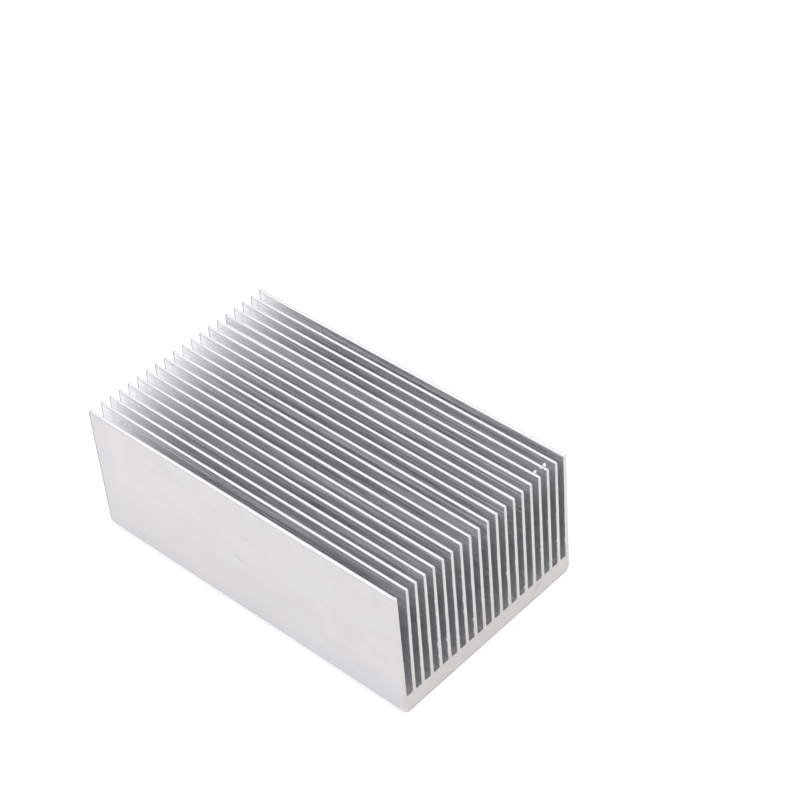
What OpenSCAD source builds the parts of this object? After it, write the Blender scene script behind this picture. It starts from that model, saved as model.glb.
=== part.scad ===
// Dense-fin extruded heat sink: one piece of aluminium extrusion, sawn square at both ends.
// Millimetres. The length runs along Y, the fins stand along Z and are counted along X from 0.
// The origin is the middle of the underside.

/* [Body] */
// Overall width across the fins
width = 59.5; // [50:0.5:90]
// Overall height from the underside to the fin tips
height = 38; // [20:0.5:60]
// Length that the extrusion is sawn to
length = 100; // [40:1:300]
// Thickness of the base plate under the slots
base_t = 5.3; // [3:0.1:10]
// Radius of the two long lower edges
base_edge_r = 1.7; // [0.3:0.1:3]

/* [Fins] */
// Number of fins, the two outer ones included
fin_count = 20; // [8:1:24]
// Thickness of an inner fin at its root
fin_t = 1.03; // [0.8:0.01:1.5]
// Thickness of an outer fin at its root
outer_fin_t = 1.19; // [0.8:0.01:2]
// How much thinner an inner fin is at its tip than at its root
fin_taper = 0.22; // [0:0.01:0.4]
// Radius of the corners at the fin tips, beside the slots
tip_r = 0.3; // [0.05:0.01:0.4]
// Radius of the outer corner at the tip of each outer fin
outer_tip_r = 0.45; // [0.05:0.01:0.6]
// Radius between a fin and the floor of a slot
root_r = 0.35; // [0.05:0.01:0.6]

/* [Spacing] */
// How far the middle fins stand off even spacing, towards +X
fin_bow = 0.22; // [-0.4:0.01:0.4]
// How far the first inner fin leans towards +X at its tip
edge_lean = 0.57; // [-0.4:0.01:0.6]

/* [Hidden] */
// Straight steps in each quarter of a corner
arc_steps = 6;
// Extra reach of a cut past the surface that it opens
overlap = 1;
// Share of the lean that each next fin keeps
edge_share = 0.6;
// Largest share of a wall or gap that one rounded corner may take
corner_share = 0.42;

slot_w = (width - 2 * outer_fin_t - (fin_count - 2) * fin_t) / (fin_count - 1);
fin_pitch = slot_w + fin_t;
root_corner_r = min(root_r, corner_share * slot_w);
tip_corner_r = min(tip_r, corner_share * (fin_t - fin_taper));
outer_corner_r = min(outer_tip_r, corner_share * (outer_fin_t - fin_taper / 2));

// Points along a circular arc about c, from angle a0 to angle a1
function arc(c, r, a0, a1) =
    [for (k = [0:arc_steps]) let (a = a0 + (a1 - a0) * k / arc_steps) c + r * [cos(a), sin(a)]];

// How far fin i stands off even spacing: nothing for the two outer fins, most in the middle
function bow(i) = let (along = i / (fin_count - 1)) fin_bow * 4 * along * (1 - along);

// Sideways lean of fin i at its tip: the two outer fins stand straight
function lean(i) = (i == 0 || i == fin_count - 1) ? 0 : edge_lean * pow(edge_share, i - 1);

// Left-hand side of the root of slot i before the bow. It lies between fins i and i + 1
function slot_x(i) = -width / 2 + outer_fin_t + i * fin_pitch;

// Outline of the bar before its slots are opened
module bar_outline() {
    side = width / 2;
    polygon(concat(
        arc([-side + base_edge_r, base_edge_r], base_edge_r, 180, 270),
        arc([side - base_edge_r, base_edge_r], base_edge_r, 270, 360),
        arc([side - outer_corner_r, height - outer_corner_r], outer_corner_r, 0, 90),
        arc([-side + outer_corner_r, height - outer_corner_r], outer_corner_r, 90, 180)));
}

// One slot with a rounded floor, opening out round the tips of the fins beside it
module slot_outline(i) {
    root_left = slot_x(i) + bow(i);
    root_right = slot_x(i) + slot_w + bow(i + 1);
    tip_left = root_left - fin_taper / 2 + lean(i);
    tip_right = root_right + fin_taper / 2 + lean(i + 1);
    floor_z = base_t + root_corner_r;
    tip_z = height - tip_corner_r;
    polygon(concat(
        arc([root_left + root_corner_r, floor_z], root_corner_r, 180, 270),
        arc([root_right - root_corner_r, floor_z], root_corner_r, 270, 360),
        arc([tip_right + tip_corner_r, tip_z], tip_corner_r, 180, 90),
        [[tip_right + tip_corner_r, height + overlap], [tip_left - tip_corner_r, height + overlap]],
        arc([tip_left - tip_corner_r, tip_z], tip_corner_r, 90, 0)));
}

// The extrusion: its profile stands in the XZ plane and runs along Y
module heat_sink() {
    color([0.84, 0.84, 0.83])
    rotate([90, 0, 0])
    linear_extrude(height = length, center = true)
    difference() {
        bar_outline();
        for (i = [0:fin_count - 2]) slot_outline(i);
    }
}

heat_sink();
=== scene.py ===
"""Looks for the extruded heat sink: bare aluminium, a pale floor and soft studio light.

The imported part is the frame. Places in this script are millimetres in the part's own frame: the
length runs along Y, the near sawn end is at the low Y, and the fins are counted along X from 1.
Blender's own units are metres.
"""
import math

import bpy
from mathutils import Matrix, Vector
from mathutils import noise as noise_lib


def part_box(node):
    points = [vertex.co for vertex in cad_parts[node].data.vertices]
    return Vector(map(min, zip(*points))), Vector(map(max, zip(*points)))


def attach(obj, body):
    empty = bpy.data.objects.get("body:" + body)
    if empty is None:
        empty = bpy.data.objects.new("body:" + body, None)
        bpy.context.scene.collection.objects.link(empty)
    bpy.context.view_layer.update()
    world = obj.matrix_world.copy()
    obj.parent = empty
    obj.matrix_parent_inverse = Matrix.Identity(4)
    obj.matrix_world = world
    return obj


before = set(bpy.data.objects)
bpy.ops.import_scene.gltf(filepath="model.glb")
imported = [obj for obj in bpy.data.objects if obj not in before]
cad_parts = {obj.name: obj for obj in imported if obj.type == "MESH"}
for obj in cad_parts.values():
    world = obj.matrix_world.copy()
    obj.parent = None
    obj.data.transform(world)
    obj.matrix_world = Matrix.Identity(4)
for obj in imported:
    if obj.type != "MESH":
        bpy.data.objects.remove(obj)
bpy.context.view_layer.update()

MM = 0.001
LOWEST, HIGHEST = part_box("heat_sink")
SIDE = HIGHEST.x / MM            # half the width
NEAR = LOWEST.y / MM             # the sawn end that faces the camera
FAR = HIGHEST.y / MM
TOP = HIGHEST.z / MM             # height of the fin tips

# ---- the profile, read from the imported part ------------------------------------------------

DIGITS = 3                       # places are rounded to a thousandth of a millimetre


def tip_spans(mesh):
    """Left and right edge of the flat on each fin's tip, fin by fin."""
    level = TOP - 10 ** -DIGITS
    edges = {round(v.co.x / MM, DIGITS) for v in mesh.vertices if v.co.z / MM > level}
    in_turn = sorted(edges)
    return list(zip(in_turn[0::2], in_turn[1::2]))


def end_outline(mesh):
    """The profile as one closed run of (x, z) points, with the metal on its left."""
    sides = set()
    for face in mesh.polygons:
        if face.normal.y < -0.9:
            corners = [mesh.vertices[i].co for i in face.vertices]
            run = [(round(c.x / MM, DIGITS), round(c.z / MM, DIGITS)) for c in corners]
            sides.update(zip(run, run[1:] + run[:1]))
    follows = {a: b for a, b in sides if (b, a) not in sides}
    point = min(follows)
    outline = []
    while point in follows:
        outline.append(point)
        point = follows.pop(point)
    return outline


# ---- node helpers --------------------------------------------------------------------------


class Nodes:
    """Builds a node tree by short calls. Inputs are numbers, colours or other nodes' outputs."""

    def __init__(self, tree):
        self.tree = tree
        tree.nodes.clear()

    def add(self, kind, **settings):
        node = self.tree.nodes.new(kind)
        for key, value in settings.items():
            setattr(node, key, value)
        return node

    def put(self, socket, value):
        if isinstance(value, bpy.types.NodeSocket):
            self.tree.links.new(value, socket)
        elif isinstance(value, (tuple, list)) and socket.type == "RGBA" and len(value) == 3:
            socket.default_value = (*value, 1.0)
        else:
            socket.default_value = value

    def math(self, operation, a, b=0.0, c=None):
        node = self.add("ShaderNodeMath", operation=operation)
        self.put(node.inputs[0], a)
        self.put(node.inputs[1], b)
        if c is not None:
            self.put(node.inputs[2], c)
        return node.outputs[0]

    def times(self, a, b):
        return self.math("MULTIPLY", a, b)

    def either(self, a, b):
        return self.math("MAXIMUM", a, b)

    def mix(self, factor, a, b, blend="MIX"):
        node = self.add("ShaderNodeMix", data_type="RGBA", blend_type=blend)
        self.put(node.inputs["Factor"], factor)
        self.put(node.inputs[6], a)
        self.put(node.inputs[7], b)
        return node.outputs[2]

    def stain(self, colour, mask, amount, tint):
        """The colour with this amount of the tint where the mask is 1."""
        return self.mix(self.times(mask, amount), colour, tint)

    def lerp(self, factor, a, b):
        node = self.add("ShaderNodeMix", data_type="FLOAT")
        self.put(node.inputs["Factor"], factor)
        self.put(node.inputs[2], a)
        self.put(node.inputs[3], b)
        return node.outputs[0]

    def lerp_vector(self, factor, a, b):
        node = self.add("ShaderNodeMix", data_type="VECTOR")
        self.put(node.inputs["Factor"], factor)
        self.put(node.inputs[4], a)
        self.put(node.inputs[5], b)
        return node.outputs[1]

    def ramp(self, value, low, high, out_low=0.0, out_high=1.0):
        """value mapped from low..high to out_low..out_high, smoothly and clamped."""
        node = self.add("ShaderNodeMapRange", interpolation_type="SMOOTHSTEP")
        for socket, number in zip(node.inputs, (value, low, high, out_low, out_high)):
            self.put(socket, number)
        return node.outputs[0]

    def fall(self, value, low, high):
        """1 below low, falling smoothly to 0 at high."""
        return self.ramp(value, low, high, 1.0, 0.0)

    def stretched(self, vector, scale):
        node = self.add("ShaderNodeVectorMath", operation="MULTIPLY")
        self.put(node.inputs[0], vector)
        self.put(node.inputs[1], scale)
        return node.outputs[0]

    def noise(self, mm, scale, detail=3.0, roughness=0.5, distortion=0.0):
        """Noise with the given number of turns to a millimetre along X, Y and Z."""
        node = self.add("ShaderNodeTexNoise", noise_dimensions="3D")
        self.put(node.inputs["Vector"], self.stretched(mm, scale))
        self.put(node.inputs["Scale"], 1.0)
        self.put(node.inputs["Detail"], detail)
        self.put(node.inputs["Roughness"], roughness)
        self.put(node.inputs["Distortion"], distortion)
        return node.outputs["Fac"]

    def spot(self, mm, centre, size):
        """1 at centre, fading to 0 at the size given along each axis."""
        node = self.add("ShaderNodeVectorMath", operation="SUBTRACT")
        self.put(node.inputs[0], mm)
        self.put(node.inputs[1], centre)
        length = self.add("ShaderNodeVectorMath", operation="LENGTH")
        self.put(length.inputs[0], self.stretched(node.outputs[0], [1 / s for s in size]))
        return self.fall(length.outputs["Value"], 0.3, 1.0)

    def bump(self, height, depth, strength, normal=None):
        """Relief of this depth in millimetres, on top of an earlier normal where one is given."""
        node = self.add("ShaderNodeBump")
        self.put(node.inputs["Strength"], strength)
        self.put(node.inputs["Distance"], depth * MM)
        self.put(node.inputs["Height"], height)
        if normal is not None:
            self.put(node.inputs["Normal"], normal)
        return node.outputs[0]

    def metal(self, colour, roughness, normal):
        shader = self.add("ShaderNodeBsdfPrincipled")
        self.put(shader.inputs["Metallic"], 1.0)
        self.put(shader.inputs["Base Color"], colour)
        self.put(shader.inputs["Roughness"], roughness)
        self.put(shader.inputs["Normal"], normal)
        return shader

    def finish(self, shader):
        output = self.add("ShaderNodeOutputMaterial")
        self.put(output.inputs["Surface"], shader)


def new_material(name):
    material = bpy.data.materials.new(name)
    material.use_nodes = True
    return material, Nodes(material.node_tree)


def coordinates(n):
    """Place in millimetres and the surface's own direction, both in the part's frame."""
    coords = n.add("ShaderNodeTexCoord")
    mm = n.stretched(coords.outputs["Object"], (1 / MM, 1 / MM, 1 / MM))
    return mm, coords.outputs["Normal"]


def parts_of(n, vector):
    node = n.add("ShaderNodeSeparateXYZ")
    n.put(node.inputs[0], vector)
    return node.outputs


# ---- the aluminium -------------------------------------------------------------------------

# The metal itself
FIN = (0.950, 0.950, 0.955)          # inside the slots, as the die left it
SKIN = (0.822, 0.800, 0.778)         # outer faces, dulled by handling
RUBBED = (0.985, 0.980, 0.980)       # fin tips
TIP_FAR_SHADE = (0.60, 0.59, 0.58)     # painted shade that darkens them towards the far end
SAWN_LOW_SHADED = (0.745, 0.712, 0.673)    # sawn end low down, painted darker there as shade
SAWN_FIN = (0.804, 0.771, 0.745)     # sawn ends of the fins
TORN_BRIGHT = (0.93, 0.925, 0.92)
TORN_DULL = (0.78, 0.77, 0.76)

# Stains, and painted shade, on the extruded faces
FINE_LINES = (0.60, 0.60, 0.61)
HAZE = (0.62, 0.62, 0.64)
WARM_FIN, WARM_SKIN = (0.97, 0.945, 0.945), (0.95, 0.900, 0.885)
COOL_FIN, COOL_SKIN = (0.93, 0.965, 0.955), (0.88, 0.895, 0.870)
SPECKS = (0.55, 0.55, 0.56)
# darker colour of the skin low down and at the far end
SKIN_DARKER = (0.74, 0.75, 0.775)
SCRATCHED = (0.42, 0.40, 0.40)
SHOULDER_SHADE = (0.55, 0.55, 0.57)        # painted shade on the rounded edges just under the tips
PAINTED_SHADE = (0.30, 0.30, 0.31)           # painted shade: deep line grooves, under the lower edges, far end edges

# Stains on the sawn ends
TEETH = (0.50, 0.48, 0.46)
SMEARED = (0.86, 0.84, 0.82)
BLADE_ARCS = (0.62, 0.61, 0.60)
SMUDGE = (0.45, 0.44, 0.44)

# Roughness
MATT_FROM, MATT_TO = 0.478, 0.538    # in the slots, fine lines above this are matt, others smooth
SLOT_ROUGH = (0.16, 0.50)
SKIN_ROUGH = (0.32, 0.42)
SAWN_ROUGH = (0.50, 0.62)
TIP_ROUGH = 0.36
DRAWN_GRAIN, SAWN_GRAIN = 0.8, 0.1   # anisotropy
ALONG = (0.02, 1.0, 0.01)            # direction of the die lines, never square to a face
ACROSS = (1.0, 0.02, 0.01)           # direction of the grain on the sawn ends

# Deep die lines: fins that have them on their left faces, how marked, and the lines' spacing
SCORED_FINS = {16: 1.0, 15: 0.35, 14: 0.3, 10: 0.25}
SCORE_PITCH = 0.8
SCORE_SKEW = 0.7                     # how much steeper one flank of a line is than the other

# Scratches on the left side, all at one slant: middle along Y and Z, half the length and width
SLANT = math.radians(38)
SCRATCHES = ((-2.6, 27.6, 1.0, 0.26), (-1.4, 26.5, 0.7, 0.22),
             (1.7, 18.8, 1.5, 0.26), (0.4, 18.3, 0.5, 0.22))

BLADE_MIDDLE = (-70.0, -165.0)       # middle of the circular saw blade along X and Z
BLADE_FEED = 0.9                     # spacing of the arcs that it left
SMUDGE_PLACE = (17.8, NEAR, 3.6)
SMUDGE_SIZE = (1.6, 0.5, 1.6)


def scored_faces(n, x, z, spans):
    """The left faces of the scored fins, a few millimetres down from their tips."""
    scored = 0.0
    for fin, depth in SCORED_FINS.items():
        left = spans[fin - 1][0]
        face = n.times(n.ramp(x, left - 1.2, left - 0.9),
                       n.ramp(x, left + 0.3, left + 0.6, depth, 0.0))
        scored = n.math("ADD", scored, face)
    return n.times(scored, n.ramp(z, TOP - 3.2, TOP - 2.6))


def score_wave(n, z):
    """A wave down the faces, with one steep and one slow flank to each line."""
    turns = n.times(n.math("SUBTRACT", z, TOP - SCORE_PITCH / 2), 2 * math.pi / SCORE_PITCH)
    skewed = n.math("SUBTRACT", turns, n.times(n.math("SINE", turns), SCORE_SKEW))
    return n.math("COSINE", skewed)


def blade_arcs(n, x, z):
    """Shallow arcs across a sawn end, from a large circular blade."""
    dx = n.math("SUBTRACT", x, BLADE_MIDDLE[0])
    dz = n.math("SUBTRACT", z, BLADE_MIDDLE[1])
    reach = n.math("SQRT", n.math("ADD", n.times(dx, dx), n.times(dz, dz)))
    return n.math("SINE", n.times(reach, 2 * math.pi / BLADE_FEED))


class Bar:
    """Places on the bar, and the masks and noises that its colour, roughness and relief share."""

    def __init__(self, n, spans):
        self.mm, facing = coordinates(n)
        self.x, self.y, self.z = parts_of(n, self.mm)
        _, endward, self.upward = parts_of(n, facing)

        # Which face this is: a sawn end, an outer face, or the top of a fin
        self.end = n.ramp(n.math("ABSOLUTE", endward), 0.6, 0.8)
        aside = n.ramp(n.math("ABSOLUTE", self.x), SIDE - 0.3, SIDE - 0.1)
        self.outer = n.either(aside, n.fall(self.z, 0.1, 0.3))
        self.tip = n.ramp(self.z, TOP - 0.10, TOP - 0.02)

        # Lines that the die drew along Y: broad ones, fine ones, and on some fins a few deep ones
        self.broad = n.noise(self.mm, (0.9, 0.004, 1.1), detail=2.0, roughness=0.6)
        self.fine = n.noise(self.mm, (5.0, 0.02, 5.0), detail=4.0, roughness=0.7)
        scored, wave = scored_faces(n, self.x, self.z, spans), score_wave(n, self.z)
        self.scored = n.times(scored, wave)
        # The grooves of the deep lines, where painted shade darkens the colour
        self.groove_shade = n.times(scored, n.fall(wave, -0.2, 0.4))

        self.cloud = n.noise(self.mm, (0.09, 0.07, 0.09), detail=2.5, distortion=0.2)
        self.teeth = n.noise(self.mm, (2.2, 2.0, 3.0), detail=5.0, roughness=0.75)
        self.mottle = n.noise(self.mm, (0.5, 0.5, 0.5), detail=4.0, roughness=0.6)
        self.arcs = n.times(blade_arcs(n, self.x, self.z), n.ramp(self.mottle, 0.4, 0.65))


def cloudy_metal(n, at):
    """Slot metal, duller outer skin, faint lines, clouds, specks and painted shade in the deep
    lines.
    """
    tint = n.noise(at.mm, (0.11, 0.08, 0.11), detail=1.5, distortion=0.3)
    speck = n.noise(at.mm, (1.6, 0.9, 1.6), detail=3.0, roughness=0.6)
    metal = n.mix(at.outer, FIN, SKIN)
    metal = n.stain(metal, n.ramp(at.fine, 0.40, 0.60), 0.05, FINE_LINES)
    metal = n.stain(metal, n.times(at.outer, n.ramp(at.cloud, 0.34, 0.66)), 0.09, HAZE)
    metal = n.stain(metal, n.ramp(tint, 0.44, 0.70), 0.25, n.mix(at.outer, WARM_FIN, WARM_SKIN))
    metal = n.stain(metal, n.fall(tint, 0.28, 0.48), 0.25, n.mix(at.outer, COOL_FIN, COOL_SKIN))
    metal = n.stain(metal, n.ramp(speck, 0.60, 0.75), 0.06, SPECKS)
    # Painted shade in the grooves of the deep die lines
    return n.stain(metal, at.groove_shade, 0.65, PAINTED_SHADE)


def darker_low_and_far(n, at, metal):
    """The skin is a little darker low down, along a line that rises towards the near end, and at
    the far end.
    """
    line = n.math("ADD", n.ramp(at.y, NEAR, NEAR + 45.0, 9.0, 4.3), n.times(at.cloud, 1.2))
    low = n.fall(n.math("SUBTRACT", at.z, line), -1.2, 0.4)
    far = n.ramp(at.y, FAR - 6.5, FAR - 5.0)
    return n.stain(metal, n.times(at.outer, n.either(low, far)), 0.30, SKIN_DARKER)


def scratches(n, mm):
    """Short slanted scratches where the left side was handled."""
    turn = n.add("ShaderNodeVectorRotate", rotation_type="X_AXIS")
    n.put(turn.inputs["Vector"], mm)
    n.put(turn.inputs["Angle"], -SLANT)
    slanted = Matrix.Rotation(-SLANT, 3, "X")
    marks = 0.0
    for y, z, half_length, half_width in SCRATCHES:
        middle = slanted @ Vector((-SIDE, y, z))
        marks = n.either(marks, n.spot(turn.outputs[0], middle, (0.4, half_length, half_width)))
    return marks


def worn_and_shaded(n, at, metal):
    """Scratches, tips polished bright by handling, and painted shade on the tips' rounded edges and
    far end.
    """
    metal = n.stain(metal, scratches(n, at.mm), 0.55, SCRATCHED)
    # Painted shade on the rounded edges under the tips
    shoulder_shade = n.lerp(at.outer, n.ramp(at.z, TOP - 0.45, TOP - 0.25),
                      n.ramp(at.z, TOP - 0.30, TOP - 0.15))
    metal = n.stain(metal, shoulder_shade, 0.40, SHOULDER_SHADE)
    # The bright tips, with painted shade making them darker towards the far end
    rubbed_and_shaded = n.stain(RUBBED, n.ramp(at.y, FAR - 18.0, FAR), 0.20, TIP_FAR_SHADE)
    return n.mix(at.tip, metal, rubbed_and_shaded)


def sawn_metal(n, at):
    """Painted shade low down, saw teeth, smears, blade arcs and one smudge."""
    # Painted shade: the sawn end is darker low down, lighter up the fins
    metal = n.mix(n.ramp(at.z, 4.0, 16.0), SAWN_LOW_SHADED, SAWN_FIN)
    metal = n.stain(metal, n.ramp(at.teeth, 0.38, 0.68), 0.22, TEETH)
    metal = n.stain(metal, n.ramp(at.mottle, 0.45, 0.70), 0.25, SMEARED)
    metal = n.stain(metal, n.ramp(at.arcs, 0.0, 1.0), 0.10, BLADE_ARCS)
    return n.stain(metal, n.spot(at.mm, SMUDGE_PLACE, SMUDGE_SIZE), 0.25, SMUDGE)


def painted_shade_lines(n, at):
    """Thin painted shade lines: under the lower edges, along the far end's edges, on the right
    side's top edge.
    """
    foot = n.lerp(at.end, n.fall(at.z, 1.00, 1.50), n.fall(at.z, 0.10, 0.35))
    foot = n.times(foot, n.ramp(at.upward, -0.95, -0.80))
    # Painted shade outline along the edges just short of the far end
    far_outline = n.times(n.ramp(at.y, FAR - 0.45, FAR - 0.20), n.math("SUBTRACT", 1.0, at.end))
    # Painted shade line along the top edge of the right side
    corner = n.times(n.ramp(at.x, SIDE - 0.38, SIDE - 0.22), n.ramp(at.z, TOP - 0.6, TOP - 0.5))
    return n.either(n.either(foot, far_outline), corner)


def roughness(n, at):
    slot = n.ramp(at.fine, MATT_FROM, MATT_TO, *SLOT_ROUGH)
    skin = n.ramp(at.fine, 0.40, 0.60, *SKIN_ROUGH)
    drawn = n.lerp(at.tip, n.lerp(at.outer, slot, skin), TIP_ROUGH)
    return n.lerp(at.end, drawn, n.ramp(at.teeth, 0.3, 0.7, *SAWN_ROUGH))


def relief(n, at):
    lines = n.math("ADD", n.times(at.broad, 0.25), n.times(at.fine, 0.6))
    drawn = n.bump(lines, 0.03, n.lerp(at.outer, 0.30, 0.15), n.bump(at.scored, 0.09, 1.0))
    sawn = n.bump(n.math("ADD", at.teeth, n.times(at.arcs, 0.15)), 0.06, 0.5)
    return n.lerp_vector(at.end, drawn, sawn)


def aluminium(spans):
    """Mill-finish extrusion: lines drawn along Y by the die, cloudy patches, and matt sawn ends."""
    material, n = new_material("mill_aluminium")
    at = Bar(n, spans)
    drawn = worn_and_shaded(n, at, darker_low_and_far(n, at, cloudy_metal(n, at)))
    bare = n.mix(at.end, drawn, sawn_metal(n, at))
    # Painted shade lines along the lower edges, the far end's edges and the right side's top edge
    colour = n.stain(bare, painted_shade_lines(n, at), 0.75, PAINTED_SHADE)
    shader = n.metal(colour, roughness(n, at), relief(n, at))
    n.put(shader.inputs["Anisotropic"], n.lerp(at.end, DRAWN_GRAIN, SAWN_GRAIN))
    n.put(shader.inputs["Anisotropic Rotation"], 0.25)
    n.put(shader.inputs["Tangent"], n.lerp_vector(at.end, ALONG, ACROSS))
    n.finish(shader.outputs[0])
    return material


def torn_metal():
    """Fresh bright metal of burrs and curls."""
    material, n = new_material("torn_aluminium")
    mm, _ = coordinates(n)
    grain = n.noise(mm, (6.0, 6.0, 6.0), detail=3.0, roughness=0.7)
    colour = n.mix(n.ramp(grain, 0.35, 0.65), TORN_BRIGHT, TORN_DULL)
    shader = n.metal(colour, n.ramp(grain, 0.3, 0.7, 0.34, 0.48), n.bump(grain, 0.03, 0.4))
    n.finish(shader.outputs[0])
    return material


# ---- burrs, curls and beads ----------------------------------------------------------------

BURR_STEP = 0.05                 # spacing of the points along a burr
BURR_LEAST = 0.03                # a burr narrower than this is left out
BURR_WIDEST = 0.42
BURR_ROOT = 0.03                 # how deep a burr starts in the wall
BURR_PROUD = 0.015               # how far it stands out of the sawn end
ENTRY_SHARE = 0.25               # width where the blade entered the metal, to 1 where it left
CLEAN_FOOT = 0.3                 # no burrs up to this height; they grow over the next FOOT_RISE
FOOT_RISE = 0.5
FLAKE_RINGS = 9
BEAD_ROWS, BEAD_COLUMNS = 8, 12


def clamped(value, highest=1.0):
    return min(highest, max(0.0, value))


def new_piece(name, points, faces, material):
    mesh = bpy.data.meshes.new(name)
    mesh.from_pydata([(px * MM, py * MM, pz * MM) for px, py, pz in points], [], faces)
    mesh.validate()
    mesh.update()
    piece = bpy.data.objects.new(name, mesh)
    bpy.context.collection.objects.link(piece)
    mesh.materials.append(material)
    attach(piece, "root")
    return piece


def loft(points, faces, rings):
    """Adds one closed form: rings of equally many points, joined in turn and capped."""
    first, sides = len(points), len(rings[0])
    points.extend(point for ring in rings for point in ring)
    last = len(points) - sides
    for start in range(first, last, sides):
        for k in range(sides):
            a, b = start + k, start + (k + 1) % sides
            faces.append((a, b, b + sides, a + sides))
    faces.append(tuple(range(first, first + sides))[::-1])
    faces.append(tuple(range(last, last + sides)))


def burr_width(px, pz, across, seed):
    """Width of the saw burr at a place on the profile. across is the wall's direction along X."""
    patch = noise_lib.noise(Vector((px * 0.35, pz * 0.13, seed)))
    bead = noise_lib.noise(Vector((px * 4.0, pz * 2.6, seed + 7.0)))
    side = 1.0 if across < -0.5 else ENTRY_SHARE
    foot = clamped((pz - CLEAN_FOOT) / FOOT_RISE)
    return side * foot * clamped(0.5 + 2.0 * patch) * clamped(1.9 * bead - 0.14, BURR_WIDEST)


def saw_burrs(outline, place, outward, seed, name, material):
    """Ragged flakes that the saw pushed over the edges of one sawn end.

    The burr on each stretch of the outline grows from nothing towards the stretch's second corner.
    """
    points, faces, run = [], [], []

    def close_run():
        if len(run) >= 3:
            loft(points, faces, run)
        run.clear()

    for (ax, az), (bx, bz) in zip(outline, outline[1:] + outline[:1]):
        length = math.hypot(bx - ax, bz - az)
        nx, nz = (bz - az) / length, -(bx - ax) / length
        steps = max(1, round(length / BURR_STEP))
        for k in range(steps):
            along = k / steps
            px, pz = ax + (bx - ax) * along, az + (bz - az) * along
            width = along * burr_width(px, pz, nx, seed)
            if width < BURR_LEAST:
                close_run()
                continue
            # Each corner: how far out of the wall, and how far into the bar
            corners = (-BURR_ROOT, -BURR_PROUD), (width, 0.01), (-0.01, 0.05 + 0.3 * width)
            run.append([(px + nx * out, place - outward * inward, pz + nz * out)
                        for out, inward in corners])
    close_run()
    return new_piece(name, points, faces, material)


def flake(points, faces, base, side, lift, width, thick, curl):
    """A small petal of torn metal that rises from base, leans to one side and curls over."""
    rings = []
    for r in range(FLAKE_RINGS):
        s = r / (FLAKE_RINGS - 1)
        angle = curl * s
        px = base[0] + side * lift * (0.25 * s + 0.55 * (1 - math.cos(angle)))
        py = base[1] + 0.12 * s
        pz = base[2] + lift * (math.sin(angle) / curl + 0.15 * s)
        half = width * 0.5 * math.sqrt(max(0.04, 1 - s ** 3)) * (1 + 0.15 * math.sin(9 * s))
        back, front = px - side * thick, px + side * thick
        rings.append(((back, py - half, pz), (front, py - half * 0.9, pz - thick),
                      (front, py + half * 0.9, pz - thick), (back, py + half, pz)))
    loft(points, faces, rings)


def bead(points, faces, centre, size, seed):
    """A small rounded bead of metal with an uneven surface."""
    rings = []
    for row in range(BEAD_ROWS - 1, 0, -1):
        polar = math.pi * row / BEAD_ROWS
        ring = []
        for column in range(BEAD_COLUMNS):
            turn = 2 * math.pi * column / BEAD_COLUMNS
            way = Vector((math.sin(polar) * math.cos(turn), math.sin(polar) * math.sin(turn),
                          math.cos(polar)))
            swell = 1 + 0.25 * noise_lib.noise(way * 1.7 + Vector((seed, 0, 0)))
            ring.append(tuple(c + w * s * swell for c, w, s in zip(centre, way, size)))
        rings.append(ring)
    loft(points, faces, rings)


def tip_damage(spans, material):
    """Curls and beads where the saw and handling caught the fin tips near the near end."""
    points, faces = [], []

    def on_tip(fin, aside, inward, down):
        left, right = spans[fin - 1]
        return (left + right) / 2 + aside, NEAR + inward, TOP - down

    # A split curl on fin 18, single ones on fins 17 and 6
    flake(points, faces, on_tip(18, 0.12, 1.30, 0.05),
          side=1, lift=0.95, width=0.85, thick=0.09, curl=1.5)
    flake(points, faces, on_tip(18, -0.15, 1.45, 0.05),
          side=-1, lift=0.75, width=1.00, thick=0.10, curl=1.9)
    flake(points, faces, on_tip(17, 0.12, 1.55, 0.05),
          side=1, lift=0.80, width=0.80, thick=0.09, curl=1.6)
    flake(points, faces, on_tip(6, 0.0, 0.45, 0.05),
          side=-1, lift=0.60, width=0.55, thick=0.09, curl=1.2)
    # Beads on the tips of fins 1 and 9, and on the left edge of fin 5's sawn end
    bead(points, faces, on_tip(1, 0.05, 0.35, 0.12), size=(0.52, 0.42, 0.22), seed=1.0)
    bead(points, faces, on_tip(9, 0.0, 1.7, 0.02), size=(0.26, 0.30, 0.14), seed=4.0)
    fin_edge = (spans[4][0] - 0.40, NEAR + 0.02, 27.3)
    bead(points, faces, fin_edge, size=(0.24, 0.20, 0.42), seed=3.0)
    return new_piece("tip_burrs", points, faces, material)


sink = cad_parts["heat_sink"]
SPANS = tip_spans(sink.data)
OUTLINE = end_outline(sink.data)
TORN = torn_metal()
sink.data.materials.clear()
sink.data.materials.append(aluminium(SPANS))
saw_burrs(OUTLINE, NEAR, -1, 3.0, "saw_burrs_near", TORN)
saw_burrs(OUTLINE, FAR, 1, 31.0, "saw_burrs_far", TORN)
tip_damage(SPANS, TORN)

# ---- studio --------------------------------------------------------------------------------

FLOOR = (0.78, 0.77, 0.765)
FLOOR_GLOW = (1.0, 0.975, 0.96)
FLOOR_SEEN = 0.40                # light added where the camera looks, so that the floor is white
FLOOR_MIRRORED = 0.18            # and in what the metal mirrors
FLOOR_SIZE = 3.0                 # metres
FLOOR_GAP = 0.0001               # metres between the object and the floor

SKY = (0.97, 0.99, 1.03)
WINDOW = (0.92, 0.98, 1.08)      # the colour halfway up on the left
SKY_FAR = (0.63, 0.565, 0.515)   # tint low down behind the object
SKY_LEVEL = 1.15
# Shares of that level
SKY_LEFT = 0.68                  # low down on the left
SKY_RIGHT = 1.12                 # low down on the right
SKY_WINDOW = 0.65                # added halfway up on the left
SKY_ZENITH = 0.65                # straight above

CAMERA_PLACE = (-0.26327, -0.296933, 0.396526)   # metres
CAMERA_TURN = (48.4004, 3.8601, -47.7235)        # degrees
CAMERA_LENS = 101.653
CAMERA_SENSOR = 36.0


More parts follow.
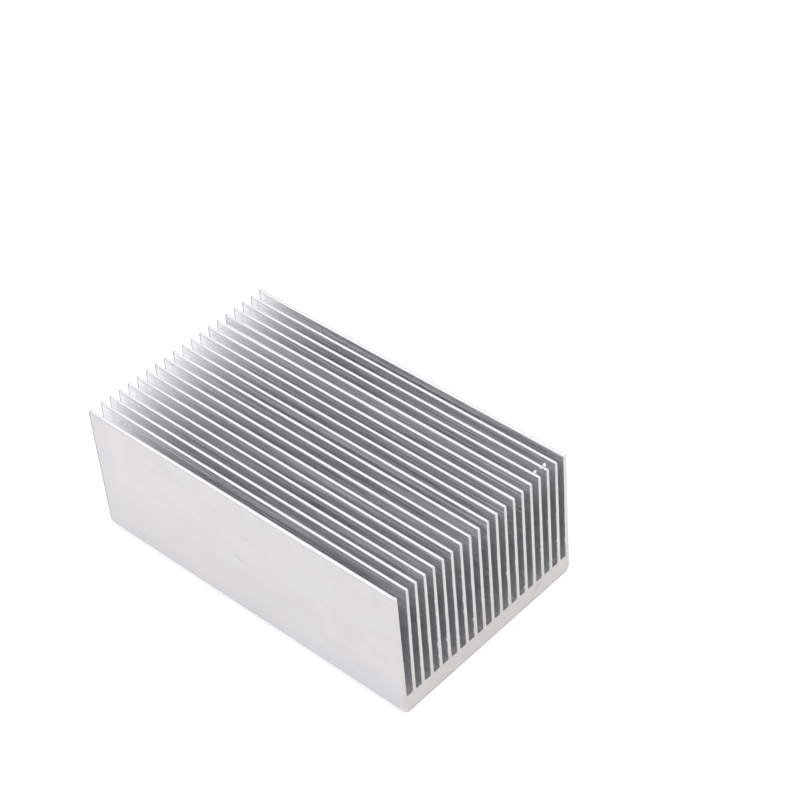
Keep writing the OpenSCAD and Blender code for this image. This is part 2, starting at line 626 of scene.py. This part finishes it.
def floor_material():
    """Pale sweep that reads white and keeps the object's shadow."""
    material, n = new_material("pale_sweep")
    matt = n.add("ShaderNodeBsdfDiffuse")
    n.put(matt.inputs["Color"], FLOOR)
    glow = n.add("ShaderNodeEmission")
    n.put(glow.inputs["Color"], FLOOR_GLOW)
    path = n.add("ShaderNodeLightPath")
    seen = n.times(path.outputs["Is Camera Ray"], FLOOR_SEEN)
    mirrored = n.either(path.outputs["Is Glossy Ray"], path.outputs["Is Transmission Ray"])
    n.put(glow.inputs["Strength"], n.math("MULTIPLY_ADD", mirrored, FLOOR_MIRRORED, seen))
    both = n.add("ShaderNodeAddShader")
    n.put(both.inputs[0], matt.outputs[0])
    n.put(both.inputs[1], glow.outputs[0])
    n.finish(both.outputs[0])
    return material


def floor():
    bpy.ops.mesh.primitive_plane_add(size=FLOOR_SIZE, location=(0, 0, -FLOOR_GAP))
    plane = bpy.context.object
    plane.name = "floor"
    plane.data.materials.append(floor_material())


def sky(n):
    """Colour and strength of a white tent with a window on its left, by the direction looked in."""
    x, y, z = parts_of(n, n.add("ShaderNodeTexCoord").outputs["Generated"])
    low = n.fall(z, 0.40, 0.60)
    halfway_up = n.times(n.ramp(z, 0.30, 0.50), n.fall(z, 0.80, 0.92))
    window = n.times(halfway_up, n.fall(x, -0.45, -0.15))
    behind = n.times(n.ramp(y, 0.05, 0.48), n.fall(z, 0.50, 0.72))
    colour = n.mix(behind, n.mix(window, SKY, WINDOW), n.mix(1.0, SKY, SKY_FAR, "MULTIPLY"))
    level = n.lerp(low, n.ramp(z, 0.87, 0.98, 1.0, SKY_ZENITH),
                   n.ramp(x, -0.3, 0.3, SKY_LEFT, SKY_RIGHT))
    level = n.math("MULTIPLY_ADD", window, SKY_WINDOW, level)
    return colour, n.times(level, SKY_LEVEL)


def studio_world():
    """The tent lights the object; the camera itself sees plain white past the floor."""
    world = bpy.data.worlds.new("tent")
    bpy.context.scene.world = world
    world.use_nodes = True
    n = Nodes(world.node_tree)
    colour, strength = sky(n)
    light = n.add("ShaderNodeBackground")
    n.put(light.inputs["Color"], colour)
    n.put(light.inputs["Strength"], strength)
    white = n.add("ShaderNodeBackground")
    n.put(white.inputs["Color"], (1, 1, 1))
    pick = n.add("ShaderNodeMixShader")
    n.put(pick.inputs[0], n.add("ShaderNodeLightPath").outputs["Is Camera Ray"])
    n.put(pick.inputs[1], light.outputs[0])
    n.put(pick.inputs[2], white.outputs[0])
    output = n.add("ShaderNodeOutputWorld")
    n.put(output.inputs["Surface"], pick.outputs[0])


def camera():
    data = bpy.data.cameras.new("camera")
    data.lens = CAMERA_LENS
    data.sensor_width = CAMERA_SENSOR
    data.clip_start = 0.01
    cam = bpy.data.objects.new("camera", data)
    bpy.context.collection.objects.link(cam)
    cam.location = CAMERA_PLACE
    cam.rotation_euler = [math.radians(angle) for angle in CAMERA_TURN]
    bpy.context.scene.camera = cam


floor()
studio_world()
camera()
bpy.context.scene.cycles.max_bounces = 32      # light crosses a slot many times before it leaves
bpy.context.scene.cycles.glossy_bounces = 32
bpy.context.scene.view_settings.view_transform = "Standard"
